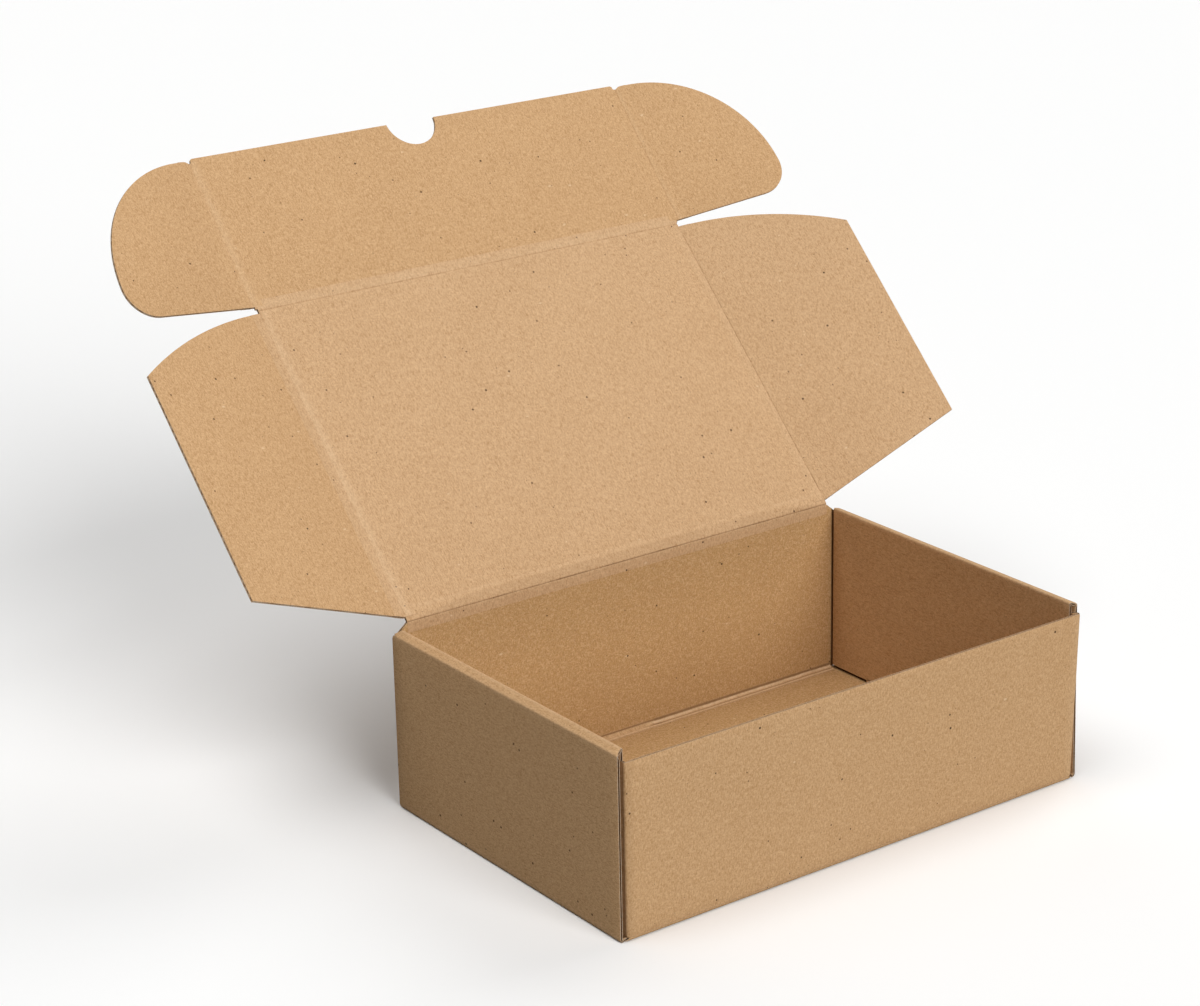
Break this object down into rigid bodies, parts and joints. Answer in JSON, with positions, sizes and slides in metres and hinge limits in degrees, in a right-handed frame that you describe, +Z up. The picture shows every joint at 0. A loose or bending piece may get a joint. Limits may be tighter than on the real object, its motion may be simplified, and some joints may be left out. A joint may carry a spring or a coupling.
{
  "type": "shipping box",
  "caption": "Self-locking one-piece mailer of thin corrugated kraft board, laid open: rolled side walls, hinged lid, side flaps and a tuck flap with ears and a thumb notch.",
  "frame": {"origin": "middle of the tray's underside, on the ground", "axes": "+X to the right along the front wall, +Y from the front wall to the rear wall, +Z up"},
  "size_m": [0.3716, 0.3168, 0.2495],
  "materials": {
    "kraft_board": "matt unbleached kraft liner with a fine fibre mottle"
  },
  "bodies": {
    "tray": {"tray": "kraft_board"},
    "lid": {"lid": "kraft_board"},
    "left_side_flap": {"left_side_flap": "kraft_board"},
    "right_side_flap": {"right_side_flap": "kraft_board"},
    "tuck_flap": {"tuck_flap": "kraft_board"},
    "left_ear": {"left_ear": "kraft_board"},
    "right_ear": {"right_ear": "kraft_board"}
  },
  "joints": [
    {"name": "lid_crease", "type": "hinge", "parent": "tray", "child": "lid", "pos_m": [0, 0.07775, 0.0825], "axis": [-1, 0, 0], "range_deg": [-135, 45]},
    {"name": "left_side_flap_crease", "type": "hinge", "parent": "lid", "child": "left_side_flap", "pos_m": [-0.11335, 0.13207, 0.13682], "axis": [0, -0.7071, -0.7071], "range_deg": [-74, 31]},
    {"name": "right_side_flap_crease", "type": "hinge", "parent": "lid", "child": "right_side_flap", "pos_m": [0.11335, 0.13207, 0.13682], "axis": [0, 0.7071, 0.7071], "range_deg": [-70, 35]},
    {"name": "tuck_flap_crease", "type": "hinge", "parent": "lid", "child": "tuck_flap", "pos_m": [0, 0.1864, 0.19115], "axis": [-1, 0, 0], "range_deg": [-86.8, 18.2]},
    {"name": "left_ear_crease", "type": "hinge", "parent": "tuck_flap", "child": "left_ear", "pos_m": [-0.1152, 0.21206, 0.21985], "axis": [0, -0.6665, -0.7455], "range_deg": [-78, 27]},
    {"name": "right_ear_crease", "type": "hinge", "parent": "tuck_flap", "child": "right_ear", "pos_m": [0.1152, 0.21206, 0.21985], "axis": [0, 0.6665, 0.7455], "range_deg": [-78, 27]}
  ]
}
